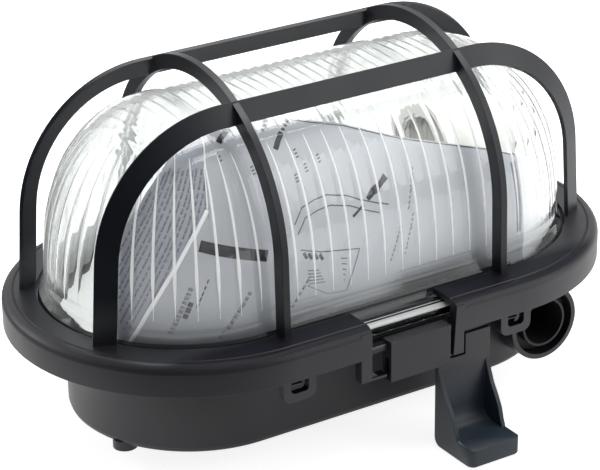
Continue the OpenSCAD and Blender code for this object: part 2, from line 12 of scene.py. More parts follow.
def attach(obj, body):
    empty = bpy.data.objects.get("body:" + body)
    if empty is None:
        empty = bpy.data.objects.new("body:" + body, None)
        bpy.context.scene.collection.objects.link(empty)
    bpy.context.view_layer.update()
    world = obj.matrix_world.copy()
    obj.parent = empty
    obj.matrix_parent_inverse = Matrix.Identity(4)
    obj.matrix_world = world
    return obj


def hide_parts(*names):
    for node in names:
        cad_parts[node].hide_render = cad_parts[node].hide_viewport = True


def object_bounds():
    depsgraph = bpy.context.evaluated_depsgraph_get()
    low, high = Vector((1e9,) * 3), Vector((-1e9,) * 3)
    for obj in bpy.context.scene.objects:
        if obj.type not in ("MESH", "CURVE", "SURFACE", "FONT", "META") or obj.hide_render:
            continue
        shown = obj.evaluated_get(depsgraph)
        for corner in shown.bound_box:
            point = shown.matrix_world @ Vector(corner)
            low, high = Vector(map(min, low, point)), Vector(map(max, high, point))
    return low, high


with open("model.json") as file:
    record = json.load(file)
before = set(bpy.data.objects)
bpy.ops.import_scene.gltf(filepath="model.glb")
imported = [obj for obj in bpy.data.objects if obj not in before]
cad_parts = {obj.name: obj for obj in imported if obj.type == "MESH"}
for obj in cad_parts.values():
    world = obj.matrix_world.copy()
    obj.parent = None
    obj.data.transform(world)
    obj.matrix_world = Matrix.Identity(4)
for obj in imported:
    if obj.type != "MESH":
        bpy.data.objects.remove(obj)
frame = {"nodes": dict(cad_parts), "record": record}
CAD_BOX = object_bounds()
NODES = frame["nodes"]
MM = 0.001

# shape values repeated from the source, in millimetres; DOME_N is the power of the profile
LENS_HALF = 46.5
FLANGE_HALF = 43.9
FLANGE_R = 56.5
DOME_R = 46.2
DOME_Z = 42.4
DOME_H = 64.4
DOME_N = 2.58
GLASS_T = 2.2
LENS_Z0 = 37.5
LENS_Z1 = 40.7
LAND_Z = 43.6


# Helpers for shader nodes
def add(nt, kind, **props):
    n = nt.nodes.new(kind)
    for k, v in props.items():
        setattr(n, k, v)
    return n


def feed(nt, socket, v):
    """Set a socket to a number, or link an output to it."""
    if isinstance(v, (int, float)):
        socket.default_value = v
    else:
        nt.links.new(v, socket)


def new_mat(name):
    m = bpy.data.materials.new(name)
    m.use_nodes = True
    nt = m.node_tree
    nt.nodes.clear()
    return m, nt, add(nt, "ShaderNodeOutputMaterial")


def principled(name):
    """A material of one plain shader: (material, its nodes, the shader)."""
    m, nt, out = new_mat(name)
    b = add(nt, "ShaderNodeBsdfPrincipled")
    nt.links.new(b.outputs["BSDF"], out.inputs["Surface"])
    return m, nt, b


def noise(nt, scale, detail, rough, coord=None):
    n = add(nt, "ShaderNodeTexNoise")
    n.inputs["Scale"].default_value = scale
    n.inputs["Detail"].default_value = detail
    n.inputs["Roughness"].default_value = rough
    if coord is None:
        coord = add(nt, "ShaderNodeTexCoord")
    nt.links.new(coord.outputs["Object"], n.inputs["Vector"])
    return n.outputs["Fac"]


def ramp(nt, src, low, high, at=(0.3, 0.7)):
    """A colour that goes from low to high between two values of src."""
    r = add(nt, "ShaderNodeValToRGB")
    els = r.color_ramp.elements
    els[0].position, els[0].color = at[0], low
    els[1].position, els[1].color = at[1], high
    nt.links.new(src, r.inputs["Fac"])
    return r.outputs["Color"]


def grey(v):
    return (v, v, v, 1.0)


def tint(col, share=1.0):
    """The colour, made darker or lighter, with its alpha."""
    return tuple(min(1.0, c * share) for c in col) + (1.0,)


def calc(nt, op, a, b):
    n = add(nt, "ShaderNodeMath", operation=op)
    feed(nt, n.inputs[0], a)
    feed(nt, n.inputs[1], b)
    return n.outputs[0]


def blend(nt, share, a, b, kind="FLOAT"):
    n = add(nt, "ShaderNodeMix", data_type=kind)
    for name, v in (("Factor", share), ("A", a), ("B", b)):
        feed(nt, n.inputs[name], v)
    return n.outputs["Result"]


def span(nt, value, given, to):
    """A smooth step from to[0] to to[1] while the value goes from given[0] to given[1]."""
    mr = add(nt, "ShaderNodeMapRange", interpolation_type="SMOOTHSTEP")
    for name, v in zip(("From Min", "From Max", "To Min", "To Max"), given + to):
        mr.inputs[name].default_value = v
    nt.links.new(value, mr.inputs["Value"])
    return mr.outputs["Result"]


def axis_of(nt, vector, axis):
    """One of the three numbers of a vector."""
    sep = add(nt, "ShaderNodeSeparateXYZ")
    nt.links.new(vector, sep.inputs[0])
    return sep.outputs[axis]


def step_along(nt, coord, axis, given, to=(0.0, 1.0), of="Object"):
    """A smooth step along one axis of the object, by place in metres or by normal."""
    return span(nt, axis_of(nt, coord.outputs[of], axis), given, to)


def along(nt, vector, way):
    """How far a vector reaches along a fixed direction."""
    n = add(nt, "ShaderNodeVectorMath", operation="DOT_PRODUCT")
    n.inputs[1].default_value = way
    nt.links.new(vector, n.inputs[0])
    return n.outputs["Value"]


def bump(nt, shader, strength, distance, src, normal=None):
    n = add(nt, "ShaderNodeBump")
    n.inputs["Strength"].default_value = strength
    n.inputs["Distance"].default_value = distance
    nt.links.new(src, n.inputs["Height"])
    if normal is not None:
        nt.links.new(normal, n.inputs["Normal"])
    nt.links.new(n.outputs["Normal"], shader.inputs["Normal"])


# Materials
COLOUR_DRIFT = 0.12
METAL_STREAK = 0.06
EDGE_ROUND = 0.00035
GLASS_IOR = 1.47

# painted shade: the guard reflects less on top of its ring along the front, and on the cage's
# left end
FACING_UP = (0.35, 0.95)
RING_FRONT, RING_PAINTED_SHADE = (-0.051, -0.043), (0.86, 0.0)
CAGE_LEFT, CAGE_PAINTED_SHADE = (-0.088, -0.036), (0.72, 0.0)
CAGE_FOOT = (0.050, 0.062)
GUARD_GLOSS = 0.6


def guard_gloss_painted_shade(nt, coord):
    """Gloss of the guard by place, lowered there for painted shade."""
    up = step_along(nt, coord, "Z", FACING_UP, of="Normal")
    front = calc(nt, "MULTIPLY", up, step_along(nt, coord, "Y", RING_FRONT, RING_PAINTED_SHADE))
    left = calc(nt, "MULTIPLY", step_along(nt, coord, "X", CAGE_LEFT, CAGE_PAINTED_SHADE),
                step_along(nt, coord, "Z", CAGE_FOOT))
    painted_shade = calc(nt, "MAXIMUM", front, left)
    return calc(nt, "MULTIPLY", calc(nt, "SUBTRACT", 1.0, painted_shade), GUARD_GLOSS)


def moulded(name, col, rough=0.42, spec=0.5, grain=0.25, edge=0.0, upper=None, sheen=None):
    """Injection moulded plastic: fine grain, slow colour drift and rounded-looking edges.

    upper is (colour, (z0, z1)): the plastic turns to that colour between two heights.
    sheen makes the gloss by place, instead of spec."""
    m, nt, b = principled(name)
    co = add(nt, "ShaderNodeTexCoord")
    slow = noise(nt, 45.0, 3.0, 0.55, co)

    def drift(c):
        return ramp(nt, slow, tint(c, 1 - COLOUR_DRIFT), tint(c, 1 + COLOUR_DRIFT))

    tone = drift(col)
    if upper:
        tone = blend(nt, step_along(nt, co, "Z", upper[1]), tone, drift(upper[0]), "RGBA")
    nt.links.new(tone, b.inputs["Base Color"])
    nt.links.new(ramp(nt, slow, grey(rough - 0.04), grey(rough + 0.05)), b.inputs["Roughness"])
    b.inputs["Specular IOR Level"].default_value = spec
    if sheen:
        nt.links.new(sheen(nt, co), b.inputs["Specular IOR Level"])
    rounded = None
    if edge:
        bevel = add(nt, "ShaderNodeBevel", samples=4)
        bevel.inputs["Radius"].default_value = edge
        rounded = bevel.outputs["Normal"]
    bump(nt, b, grain, 0.00006, noise(nt, 2600.0, 2.0, 0.6, co), rounded)
    return m


def metal(name, col, rough):
    m, nt, b = principled(name)
    b.inputs["Metallic"].default_value = 1.0
    n = noise(nt, 900.0, 3.0, 0.6)
    nt.links.new(ramp(nt, n, tint(col, 0.9), tint(col)), b.inputs["Base Color"])
    nt.links.new(ramp(nt, n, grey(rough - METAL_STREAK), grey(rough + METAL_STREAK)),
                 b.inputs["Roughness"])
    return m


def smooth_coat(name, col, rough, spec=0.5, grain=0.1, scale=300.0):
    """Enamel, glaze, soft sleeves and ink."""
    m, nt, b = principled(name)
    n = noise(nt, scale, 3.0, 0.5)
    nt.links.new(ramp(nt, n, tint(col, 0.96), tint(col)), b.inputs["Base Color"])
    b.inputs["Roughness"].default_value = rough
    b.inputs["Specular IOR Level"].default_value = spec
    bump(nt, b, grain, 0.0001, n)
    return m


def ink_coat(name, col):
    return smooth_coat(name, col, 0.6, 0.2, 0.2, 900.0)


# the glass is less clear towards its rear
CLEAR_Y, CLEAR_SHARE = (-0.004, 0.022), (1.0, 0.62)
# faint waves 4 mm apart, finer than the ribs, over the top of the glass
WAVE_GAP = 0.0040
WAVE_SCALE = 2 * math.pi / (20 * WAVE_GAP)
WAVE_Z = (0.090, 0.102)


def glass_mat():
    """Clear pressed glass with slow waves; light still reaches what is inside it."""
    m, nt, out = new_mat("clear_glass")
    b = add(nt, "ShaderNodeBsdfPrincipled")
    b.inputs["Base Color"].default_value = (0.97, 0.985, 0.98, 1.0)
    b.inputs["Roughness"].default_value = 0.0
    b.inputs["IOR"].default_value = GLASS_IOR
    co = add(nt, "ShaderNodeTexCoord")
    nt.links.new(step_along(nt, co, "Y", CLEAR_Y, CLEAR_SHARE), b.inputs["Transmission Weight"])
    wave = add(nt, "ShaderNodeTexWave", bands_direction="X")
    wave.inputs["Scale"].default_value = WAVE_SCALE
    wave.inputs["Distortion"].default_value = 1.6
    wave.inputs["Detail Scale"].default_value = 0.6
    nt.links.new(co.outputs["Object"], wave.inputs["Vector"])
    streaks = calc(nt, "MULTIPLY", calc(nt, "POWER", wave.outputs["Fac"], 3.0),
                   step_along(nt, co, "Z", WAVE_Z))
    bump(nt, b, 0.10, 0.0005, calc(nt, "ADD", noise(nt, 70.0, 1.0, 0.5), streaks))
    # shadow rays go straight through
    lp = add(nt, "ShaderNodeLightPath")
    through = add(nt, "ShaderNodeBsdfTransparent")
    through.inputs["Color"].default_value = (0.93, 0.95, 0.94, 1.0)
    mx = add(nt, "ShaderNodeMixShader")
    nt.links.new(lp.outputs["Is Shadow Ray"], mx.inputs[0])
    nt.links.new(b.outputs["BSDF"], mx.inputs[1])
    nt.links.new(through.outputs["BSDF"], mx.inputs[2])
    nt.links.new(mx.outputs["Shader"], out.inputs["Surface"])
    return m


def pressed_glass(name, col, clear, rough, painted_glow=0.0):
    """Glass of its own colour and glow: painted highlight on the raised ribs and the moulded
    edge, dark glass with painted shade at the seal, and the pale foot.
    """
    m, nt, b = principled(name)
    n = noise(nt, 260.0, 2.0, 0.5)
    nt.links.new(ramp(nt, n, tint(col, 0.94), tint(col)), b.inputs["Base Color"])
    b.inputs["Transmission Weight"].default_value = clear
    b.inputs["Roughness"].default_value = rough
    b.inputs["Emission Color"].default_value = (1.0, 1.0, 1.0, 1.0)
    b.inputs["Emission Strength"].default_value = painted_glow
    b.inputs["IOR"].default_value = GLASS_IOR
    return m


# the front sheet is a little darker to the left, and has a painted shadow at its foot beside the
# lever, where the lens and the lever's block shade it
PAPER_Z = (0.040, 0.060)
LEFT_X, LEFT_SHARE = (-0.070, 0.010), (0.84, 1.0)
FOOT_Z, FOOT_PAINTED_SHADOW = (0.0420, 0.0540), (0.97, 0.0)
FOOT_X0 = (-0.004, 0.012)
FOOT_X1, FOOT_X1_SHARE = (0.024, 0.042), (1.0, 0.30)


def printed_paper(name, low, high, foot=False):
    """Paper that is darker towards its lower edge, where the ring keeps light off it."""
    m, nt, b = principled(name)
    co = add(nt, "ShaderNodeTexCoord")
    cloud = calc(nt, "MULTIPLY", noise(nt, 60.0, 3.0, 0.5, co), 0.12)
    level = calc(nt, "ADD", cloud, step_along(nt, co, "Z", PAPER_Z))
    tone = ramp(nt, level, tint(low), tint(high), (0.03, 1.0))
    if foot:
        side = step_along(nt, co, "X", LEFT_X, LEFT_SHARE)
        # painted shadow: much darker at the foot beside the lever
        dark = step_along(nt, co, "Z", FOOT_Z, FOOT_PAINTED_SHADOW)
        near = calc(nt, "MULTIPLY", step_along(nt, co, "X", FOOT_X0),
                    step_along(nt, co, "X", FOOT_X1, FOOT_X1_SHARE))
        keep = calc(nt, "SUBTRACT", 1.0, calc(nt, "MULTIPLY", dark, near))
        dim = add(nt, "ShaderNodeVectorMath", operation="SCALE")
        nt.links.new(tone, dim.inputs[0])
        nt.links.new(calc(nt, "MULTIPLY", keep, side), dim.inputs["Scale"])
        tone = dim.outputs[0]
    nt.links.new(tone, b.inputs["Base Color"])
    b.inputs["Roughness"].default_value = 0.7
    b.inputs["Specular IOR Level"].default_value = 0.2
    bump(nt, b, 0.2, 0.0001, noise(nt, 900.0, 3.0, 0.5, co))
    return m


MAT = {
    "black_plastic": moulded("black_plastic", (0.0110, 0.0112, 0.0165), edge=EDGE_ROUND),
    "lever_plastic": moulded("lever_plastic", (0.012, 0.022, 0.034), edge=EDGE_ROUND,
                             upper=((0.0145, 0.0148, 0.0195), (0.008, 0.024))),
    "glass": glass_mat(),
    "rubber": moulded("rubber", (0.016, 0.016, 0.018), 0.55, 0.4, 0.3),
    "white_sheet": smooth_coat("white_sheet", (0.84, 0.84, 0.83), 0.35),
    "black_steel": moulded("black_steel", (0.012, 0.012, 0.013), 0.38, 0.5, 0.1),
    "steel": metal("steel", (0.62, 0.63, 0.65), 0.32),
    "ceramic": smooth_coat("ceramic", (0.88, 0.87, 0.83), 0.15),
    "nickel": metal("nickel", (0.86, 0.85, 0.82), 0.42),
    "brass": metal("brass", (0.78, 0.62, 0.30), 0.28),
    "white_plastic": smooth_coat("white_plastic", (0.86, 0.86, 0.84), 0.35),
    "brown_lead": smooth_coat("brown_lead", (0.22, 0.09, 0.04), 0.4),
    "blue_lead": smooth_coat("blue_lead", (0.04, 0.13, 0.42), 0.4),
    "paper": printed_paper("paper", (0.25, 0.26, 0.29), (0.53, 0.54, 0.58), foot=True),
}
GUARD_PLASTIC = moulded("guard_plastic", (0.0110, 0.0113, 0.0170), edge=EDGE_ROUND,
                        upper=((0.0075, 0.0095, 0.0150), (0.0440, 0.0475)), sheen=guard_gloss_painted_shade)
# painted light and painted shade: a lighter copy of the paper for the sheet round the right end,
# which is lit more, and a darker copy for the turned-over layer at the left, in shadow
PAPER_PAINTED_LIGHT = printed_paper("paper_painted_light", (0.55, 0.56, 0.59), (0.92, 0.92, 0.94))
PAPER_BACK_PAINTED_SHADE = printed_paper("paper_back_painted_shade", (0.26, 0.27, 0.31), (0.36, 0.375, 0.42))
# painted highlight: the rib crests are near-white glass with a faint glow, for the bright lines
# the ribs throw
RIB_HIGHLIGHT_GLASS = pressed_glass("rib_painted_highlight_glass", (0.97, 0.975, 0.98), 0.15, 0.10, 0.22)
FOOT_GLASS = pressed_glass("foot_glass", (0.62, 0.67, 0.66), 0.45, 0.10)
# dark glass: the gasket seen through the flange, with painted shade along the foot of the dome
SEAL_SHADE_GLASS = pressed_glass("seal_and_shade_glass", (0.03, 0.032, 0.036), 0.25, 0.12)
# painted highlight: pale glass for the bright lines along the flange's front edge
EDGE_HIGHLIGHT_GLASS = pressed_glass("edge_painted_highlight_glass", (0.74, 0.76, 0.76), 0.25, 0.12)
INK_DARK = ink_coat("ink_dark", (0.035, 0.036, 0.042))
INK_MID = ink_coat("ink_mid", (0.085, 0.09, 0.105))
INK_PALE = ink_coat("ink_pale", (0.22, 0.225, 0.255))

SLOT_OF = {s["node"]: s["material_slot"] for s in frame["record"]["subparts"]}
for node, obj in NODES.items():
    obj.data.materials.clear()
    obj.data.materials.append(GUARD_PLASTIC if node == "guard" else MAT[SLOT_OF[node]])


def link(o):
    bpy.context.scene.collection.objects.link(o)
    return o


def mesh_piece(name, bm, mats):
    """A smooth-shaded mesh object made from bm, in the row frame."""
    me = bpy.data.meshes.new(name)
    bm.to_mesh(me)
    bm.free()
    for m in mats:
        me.materials.append(m)
    for p in me.polygons:
        p.use_smooth = True
    return link(bpy.data.objects.new(name, me))


def dome(a, inset=0.0):
    """(distance from the long plane, height) on the dome, a in degrees above the rim."""
    a = math.radians(a)
    return ((DOME_R - inset) * max(math.cos(a), 0.0) ** (2 / DOME_N),
            DOME_Z + (DOME_H - inset) * math.sin(a) ** (2 / DOME_N))


# Ribbed glass: one closed mesh of rings that go round the oval
RIB_GAPS = 14
END_GAPS = 21
RIB_H = 0.26
RIB_W = 0.67
SLIM_W = 0.12
TIP_W = 0.10
RIB_LOW, RIB_HIGH = 6.3, 57.0
RIB_ROWS = 30
# a rib swells from its tips by this power, and grows from the first share by the second
BODY_POWER = 0.7
GROW_FROM, GROW_BY = 0.75, 0.35
# the wider drops: width, place and length along the rib, and their share on the walls
DROP_W, DROP_AT, DROP_LONG = 0.62, 0.84, 0.10
WALL_DROP = 0.35
# plain columns between two ribs, as shares of the gap
WALL_INSET = 0.2
WALL_BETWEEN = (0.36, 0.64)
END_BETWEEN = (0.3, 0.5, 0.7)
RIB_CUT = ((-1.0, 0.0), (-0.66, 0.30), (-0.36, 0.80), (0.0, 1.0), (0.36, 0.80), (0.66, 0.30),
           (1.0, 0.0))
# the crest columns take the rib glass with its painted highlight
CREST = (-0.66, -0.36, 0.0, 0.36)
# angles above the rim of the rows over, under and inside the ribs
TOP_ROWS = (90.0, 89.2, 87.5, 85.0, 81.5, 77.5, 73.0, 68.0, 63.5, 60.0)
LOW_ROWS = (4.6, 3.2, 2.0)
IN_ROWS = (2.2, 4.0, 6.5, 9.5, 13.0, 17.0, 22.0, 27.0, 32.0, 37.0, 42.0, 47.0, 52.0, 57.0, 62.0,
           67.0, 72.0, 76.5, 80.5, 84.0, 87.0, 89.0, 90.0)
# rows round the foot and the flange: (distance, height, half length)
FLANGE_ROWS = (
    (DOME_R + 0.5, LAND_Z + 2.4, LENS_HALF),
    (DOME_R + 1.3, LAND_Z + 0.9, LENS_HALF),
    (DOME_R + 1.6, LAND_Z + 0.35, LENS_HALF),
    (DOME_R + 1.9, LAND_Z - 0.2, LENS_HALF),
    (DOME_R + 2.2, LENS_Z1 + 0.2, LENS_HALF),
    (DOME_R + 2.6, LENS_Z1, LENS_HALF),
    (FLANGE_R - 4.2, LENS_Z1, FLANGE_HALF),
    (FLANGE_R - 3.7, LENS_Z1, FLANGE_HALF),
    (FLANGE_R - 2.6, LENS_Z1, FLANGE_HALF),
    (FLANGE_R - 2.0, LENS_Z1, FLANGE_HALF),
    (FLANGE_R - 0.1, LENS_Z1 - 0.7, FLANGE_HALF),
    (FLANGE_R, LENS_Z1 - 0.9, FLANGE_HALF),
    (FLANGE_R, LENS_Z0 + 0.2, FLANGE_HALF),
    (FLANGE_R - 0.2, LENS_Z0, FLANGE_HALF),
    (DOME_R - 0.8, LENS_Z0, LENS_HALF),
    (DOME_R - 1.0, LENS_Z0 + 0.3, LENS_HALF),
    (DOME_R - GLASS_T + 0.6, LAND_Z + 2.4, LENS_HALF),
)
# what the faces below some of these rows look like, by the row's distance
CLEAR, RIB, EDGE, FOOT, SEAL_SHADE = range(5)
# rows of the flange's front edge in painted highlight
EDGE_ROWS = (FLANGE_R - 4.2, FLANGE_R - 2.6, FLANGE_R - 2.0)
# rows dark with the gasket behind them and painted shade
DARK_ROWS = (DOME_R + 2.2, DOME_R + 2.6, FLANGE_R - 3.7)
EDGE_X = 20.0
# round the left end the foot is pale up to one angle, and beyond another it is dark with the
# gasket behind it and painted shade
PALE_ROWS = (DOME_R + 0.5, DOME_R + 1.3, DOME_R + 1.6, DOME_R + 1.9)
PALE_TO = 75.0
SEAL_SHADE_FROM = {DOME_R + 1.3: 84.0, DOME_R + 1.6: 62.0, DOME_R + 1.9: 62.0}


def oval_columns():
    """Columns round the oval: (kind, side, place, offset in rib widths, height share).

    The place is X on a straight wall and an angle round an end."""
    cols = []

    def straight(side):
        gap = (2 * LENS_HALF - 2 * WALL_INSET) / RIB_GAPS
        for i in range(RIB_GAPS + 1):
            x = side * (-LENS_HALF + WALL_INSET + i * gap)
            for off, share in RIB_CUT:
                cols.append(("wall", side, x, off, share))
            if i < RIB_GAPS:
                for f in WALL_BETWEEN:
                    cols.append(("wall", side, x + side * f * gap, None, 0.0))

    def end(side):
        gap = 180.0 / END_GAPS
        for i in range(END_GAPS + 1):
            ang = i * gap
            if 0 < i < END_GAPS:
                for off, share in RIB_CUT:
                    cols.append(("end", side, ang, off, share))
            if i < END_GAPS:
                for f in END_BETWEEN:
                    cols.append(("end", side, ang + f * gap, None, 0.0))

    straight(1)
    end(1)
    straight(-1)
    end(-1)
    return cols


def column_point(col, row):
    kind, side, place, off, share = col
    rho, z, half, rib_w, rib_h, drop = row
    rho = rho + rib_h * share
    # the ribs end in wider drops at the left
    if kind == "end" and side < 0:
        rib_w += drop
    elif kind == "wall" and place < -EDGE_X:
        rib_w += WALL_DROP * drop
    if kind == "wall":
        x = place + (0.0 if off is None else side * off * rib_w)
        x = max(-LENS_HALF, min(LENS_HALF, x)) if off is None else x
        return Vector((x * half / LENS_HALF, -side * rho, z)) * MM
    ang = place
    if off is not None:
        ang += math.degrees(off * rib_w / max(rho, 1.0))
    a = math.radians(side * ang - 90.0 if side > 0 else ang + 90.0)
    return Vector((side * half + rho * math.cos(a), rho * math.sin(a), z)) * MM


def glass_rings():
    """(distance, height, half length, rib width, rib height, drop) of each ring.

    The rings go from the top down outside, round the flange and back up inside."""
    def plain(angles, inset=0.0):
        return [dome(a, inset) + (LENS_HALF, SLIM_W, 0.0, 0.0) for a in angles]

    rows = plain(TOP_ROWS)
    for k in range(RIB_ROWS + 1):
        t = k / RIB_ROWS
        body = math.sin(math.pi * t) ** BODY_POWER
        low = GROW_FROM + GROW_BY * t
        drop = DROP_W * math.exp(-((t - DROP_AT) / DROP_LONG) ** 2) * body
        width = TIP_W + (RIB_W * low - TIP_W) * body
        rows.append(dome(RIB_HIGH + (RIB_LOW - RIB_HIGH) * t)
                    + (LENS_HALF, width, RIB_H * low * body, drop))
    rows += plain(LOW_ROWS)
    rows += [row + (SLIM_W, 0.0, 0.0) for row in FLANGE_ROWS]
    return rows + plain(IN_ROWS, GLASS_T)


def glass_look(col, row, below):
    """Material of the face beside a column, between a row and the one below it."""
    kind, side, place, off, _ = col
    ribbed = row[4] > 0 or below[4] > 0
    front = kind == "wall" and side > 0
    seal_shade_from = SEAL_SHADE_FROM.get(row[0])
    if ribbed and off in CREST:
        return RIB
    if kind == "end" and side < 0 and row[0] in PALE_ROWS:
        if seal_shade_from and place > seal_shade_from:
            return SEAL_SHADE
        return FOOT if place < PALE_TO else CLEAR
    if front and seal_shade_from:
        return SEAL_SHADE
    if front and abs(place) < EDGE_X:
        if row[0] in EDGE_ROWS:
            return EDGE
        if row[0] in DARK_ROWS:
            return SEAL_SHADE
    return CLEAR


def build_glass():
    bm = bmesh.new()
    cols = oval_columns()
    rows = glass_rings()
    grid = [[bm.verts.new(column_point(c, row)) for c in cols] for row in rows]
    n = len(cols)
    for k, (a, b) in enumerate(zip(grid, grid[1:])):
        for i in range(n):
            j = (i + 1) % n
            f = bm.faces.new((a[i], b[i], b[j], a[j]))
            f.material_index = glass_look(cols[i], rows[k], rows[k + 1])
    # the first and last rings lie on the top line: join each front point to its twin behind
    bmesh.ops.remove_doubles(bm, verts=bm.verts, dist=2e-6)
    bmesh.ops.recalc_face_normals(bm, faces=bm.faces)
    looks = [MAT["glass"], RIB_HIGHLIGHT_GLASS, EDGE_HIGHLIGHT_GLASS, FOOT_GLASS, SEAL_SHADE_GLASS]
    return mesh_piece("glass_cover", bm, looks)


glass = build_glass()
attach(glass, "guard")
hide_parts("lens")


# Leaflet: sheets that follow the inside of the glass, with plain generic marks
PAPER_T = 0.12
INK_T = 0.03
LEAF_IN = GLASS_T + 0.30
LEAF_R = DOME_R - LEAF_IN
BEHIND = LEAF_IN + 0.32
ON_FRONT = LEAF_IN - 0.035
ON_BACK = LEAF_IN + 0.285
LEAF_LOW = 39.5
FRONT_SHEET, PAINTED_LIGHT_SHEET, BACK_SHEET, DARK, MID, PALE = range(6)
FINE_STEP = 0.6
THIN = 0.35
PROBE = 0.3


def leaf_point(s, z, inset):
    """Point on the dome's inside.

    s runs along the oval in millimetres, 0 at the middle of the front."""
    r0 = DOME_R - inset
    if z > DOME_Z:
        k = min(1.0, (z - DOME_Z) / (DOME_H - inset))
        sin_a = k ** (DOME_N / 2)
        cos_a = math.sqrt(max(0.0, 1 - sin_a * sin_a))
        rho = r0 * cos_a ** (2 / DOME_N)
    else:
        rho = r0
    if abs(s) <= LENS_HALF:
        return Vector((s, -rho, z)) * MM
    side = 1 if s > 0 else -1
    ang = (abs(s) - LENS_HALF) / LEAF_R
    return Vector((side * (LENS_HALF + rho * math.sin(ang)), -rho * math.cos(ang), z)) * MM


def cut(points, s):
    """Height of a polyline of (s, z) at s."""
    if s <= points[0][0]:
        return points[0][1]
    for (s0, z0), (s1, z1) in zip(points, points[1:]):
        if s <= s1:
            return z0 + (z1 - z0) * (s - s0) / (s1 - s0)
    return points[-1][1]


def between(p, q, f):
    return (p[0] + (q[0] - p[0]) * f, p[1] + (q[1] - p[1]) * f)


def sheet_patch(bm, s0, s1, top, inset, mat, nz=26, step=2.0):
    """A thin closed sheet from s0 to s1, below a cut line."""
    ns = max(2, int((s1 - s0) / step))
    layers = []
    for layer in (inset, inset + PAPER_T):
        rows = []
        for k in range(nz + 1):
            row = []
            for i in range(ns + 1):
                s = s0 + (s1 - s0) * i / ns
                z = LEAF_LOW + (cut(top, s) - LEAF_LOW) * k / nz
                row.append(bm.verts.new(leaf_point(s, z, layer)))
            rows.append(row)
        layers.append(rows)
    out, back = layers
    made = []
    for k in range(nz):
        for i in range(ns):
            made.append(bm.faces.new((out[k][i], out[k][i + 1],
                                      out[k + 1][i + 1], out[k + 1][i])))
            made.append(bm.faces.new((back[k][i], back[k + 1][i],
                                      back[k + 1][i + 1], back[k][i + 1])))

    def rim(rows):
        return (rows[0] + [r[-1] for r in rows[1:]] + rows[-1][-2::-1]
                + [r[0] for r in rows[-2:0:-1]])

    rim_o, rim_b = rim(out), rim(back)
    n = len(rim_o)
    for i in range(n):
        j = (i + 1) % n
        made.append(bm.faces.new((rim_o[i], rim_b[i], rim_b[j], rim_o[j])))
    for f in made:
        f.material_index = mat


def ink(bm, points, width, mat, inset=ON_FRONT, step=1.2, taper=None):
    """A thin printed stroke along (s, z) points, a closed strip that sits on the paper."""
    dense = [points[0]]
    for (sa, za), (sb, zb) in zip(points, points[1:]):
        n = max(1, int(math.hypot(sb - sa, zb - za) / step))
        for i in range(1, n + 1):
            dense.append((sa + (sb - sa) * i / n, za + (zb - za) * i / n))
    centre = [leaf_point(s, z, inset) for s, z in dense]
    loops = []
    for i, ((s, z), p) in enumerate(zip(dense, centre)):
        t = centre[min(i + 1, len(centre) - 1)] - centre[max(i - 1, 0)]
        du = leaf_point(s + PROBE, z, inset) - leaf_point(s - PROBE, z, inset)
        dv = leaf_point(s, z + PROBE, inset) - leaf_point(s, z - PROBE, inset)
        nrm = du.cross(dv).normalized()
        side = t.cross(nrm).normalized() * (width * MM / 2)
        if taper is not None:
            side = side * (taper + (1 - taper) * i / (len(dense) - 1))
        outward = 1 if nrm.dot(Vector((-p.x * 0.01, -p.y, 0))) > 0 else -1
        low = nrm * (INK_T * MM) * outward
        corners = (p - side, p + side, p + side + low, p - side + low)
        loops.append([bm.verts.new(q) for q in corners])
    made = [bm.faces.new(loops[0]), bm.faces.new(loops[-1][::-1])]
    for a, b in zip(loops, loops[1:]):
        for k in range(4):
            j = (k + 1) % 4
            made.append(bm.faces.new((a[k], b[k], b[j], a[j])))
    bmesh.ops.recalc_face_normals(bm, faces=made)
    for f in made:
        f.material_index = mat


# cut lines of the sheets, as (s, z)
BACK_TOP = [(-92.0, 77.0), (-88.0, 82.0), (-83.5, 89.5), (-76.4, 96.9), (-65.0, 101.0),
            (-52.0, 103.0)]
FRONT_TOP = [(-88.8, LEAF_LOW + 0.4), (-81.4, 53.8), (-74.9, 64.6), (-68.2, 75.2),
             (-61.2, 84.2), (-60.0, 94.0), (-56.2, 101.3), (-41.0, 102.6), (-20.9, 100.7),
             (-4.1, 97.1), (14.5, 90.6), (44.6, 81.9), (52.0, 79.0), (56.8, 77.6)]
LIGHT_TOP = [(50.0, 79.5), (57.0, 77.2), (66.0, 73.6), (80.0, 66.0), (98.0, 57.0),
             (107.0, 55.0)]
# painted highlight along the edge of the fold, and the thin dark top edge
FOLD = [(-88.3, 40.3), (-81.1, 53.8), (-74.6, 64.6), (-67.9, 75.2), (-61.0, 84.2)]
FOLD_UP = [(-60.9, 84.0), (-59.7, 94.0), (-56.0, 101.0)]
TOP_EDGE = [(-20.0, 100.2), (-4.1, 96.7), (14.5, 90.2), (44.6, 81.5), (56.0, 77.4)]
# generic print
BAR = [(-64.6, 74.4), (-58.0, 72.4), (-49.5, 69.9), (-42.0, 67.6)]
DASHES = (((-27.5, 101.2), (-28.4, 100.8)), ((-29.0, 100.5), (-29.9, 100.1)),
          ((-30.5, 99.8), (-31.3, 99.5)), ((-20.9, 100.3), (-21.7, 100.0)),
          ((-22.4, 99.7), (-23.2, 99.4)), ((-23.9, 99.0), (-24.6, 98.7)))
SHORT_BARS = (([(-25.3, 98.4), (-27.9, 96.9), (-30.1, 95.2)], 1.7),
              ([(-41.4, 101.2), (-44.5, 100.4), (-47.6, 99.3)], 1.8))
TRIPLES = ((-51.3, 97.4), (-40.9, 92.6), (-24.5, 94.0), (-22.8, 90.0), (-17.5, 91.5),
           (-27.0, 88.0))
ARC = [(-31.0, 74.6), (-27.4, 78.9), (-22.7, 80.2), (-17.7, 80.7), (-10.7, 79.0), (-5.6, 76.6),
       (-0.3, 74.6), (4.0, 73.2)]
BOX_UPPER = [(-30.0, 66.6), (-22.6, 64.2), (-8.4, 61.9), (-14.0, 49.2)]
